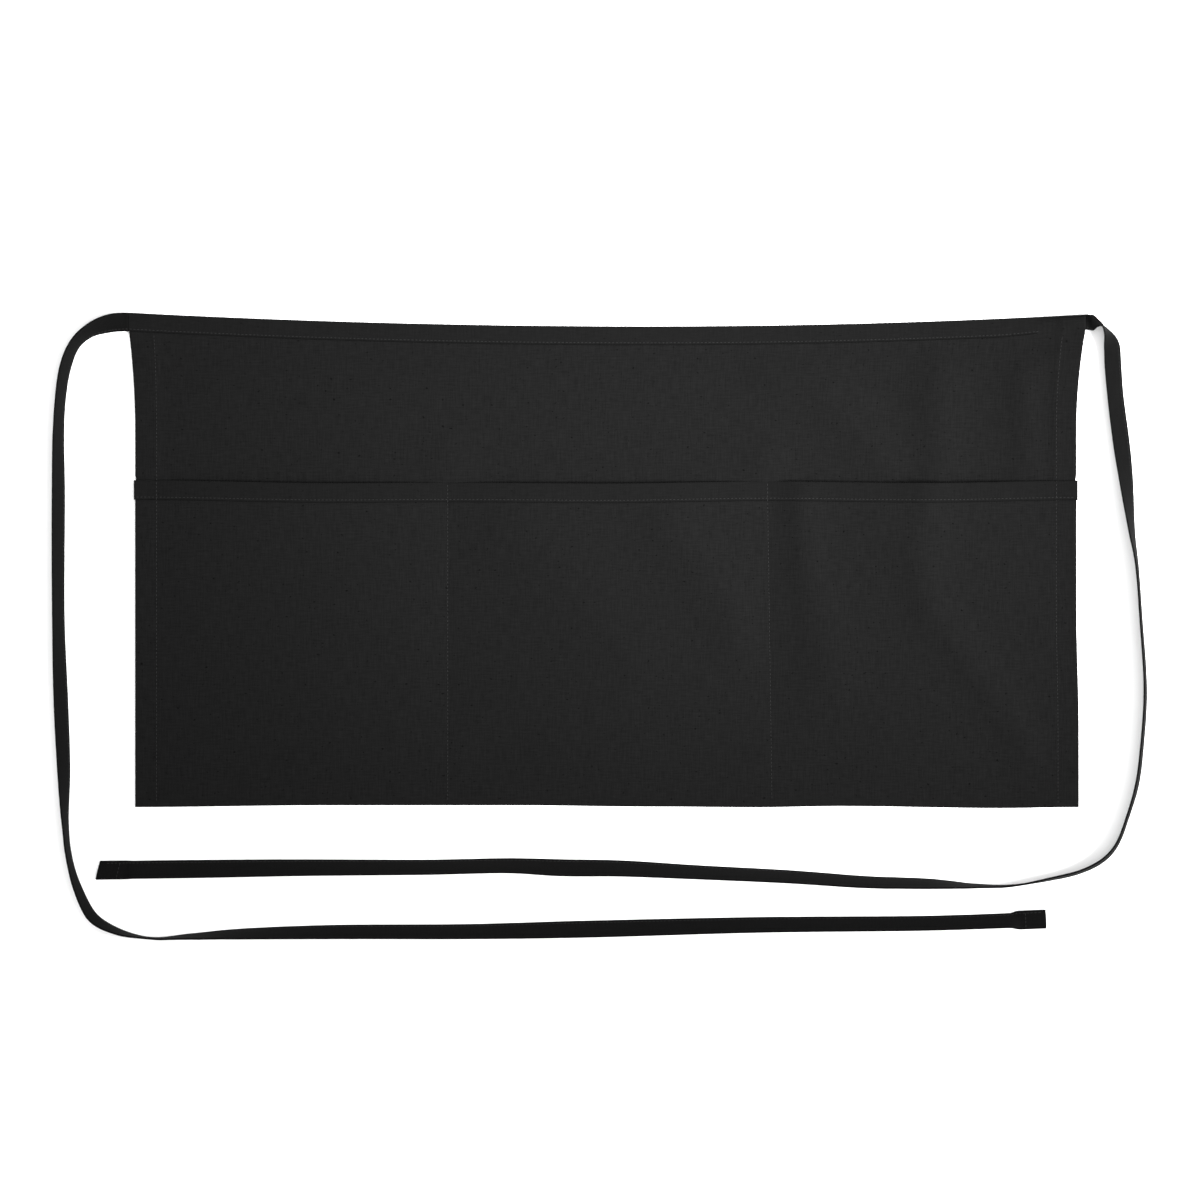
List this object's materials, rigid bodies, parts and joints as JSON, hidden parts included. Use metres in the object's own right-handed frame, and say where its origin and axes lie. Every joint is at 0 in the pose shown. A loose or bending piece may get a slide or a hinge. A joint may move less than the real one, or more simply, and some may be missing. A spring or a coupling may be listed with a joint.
{
  "type": "waist apron",
  "caption": "Black woven cotton waist apron with a row of bound front pockets, a folded waistband and flat tape ties, lying flat and face up.",
  "frame": {"origin": "middle of the back cloth's underside, on the table it lies on", "axes": "+X across the apron to the viewer's right, +Y up towards the waistband, +Z out of the front face, away from the table"},
  "size_m": [0.7082, 0.4057, 0.013],
  "materials": {
    "apron_cloth": "matte",
    "pocket_cloth": "matte",
    "binding_cloth": "matte",
    "tie_tape": "matte"
  },
  "bodies": {
    "root": {"apron_panel": "apron_cloth", "pocket_panel": "pocket_cloth", "pocket_binding": "binding_cloth", "waistband": "binding_cloth", "tie_left": "tie_tape", "tie_right": "tie_tape"}
  },
  "joints": []
}
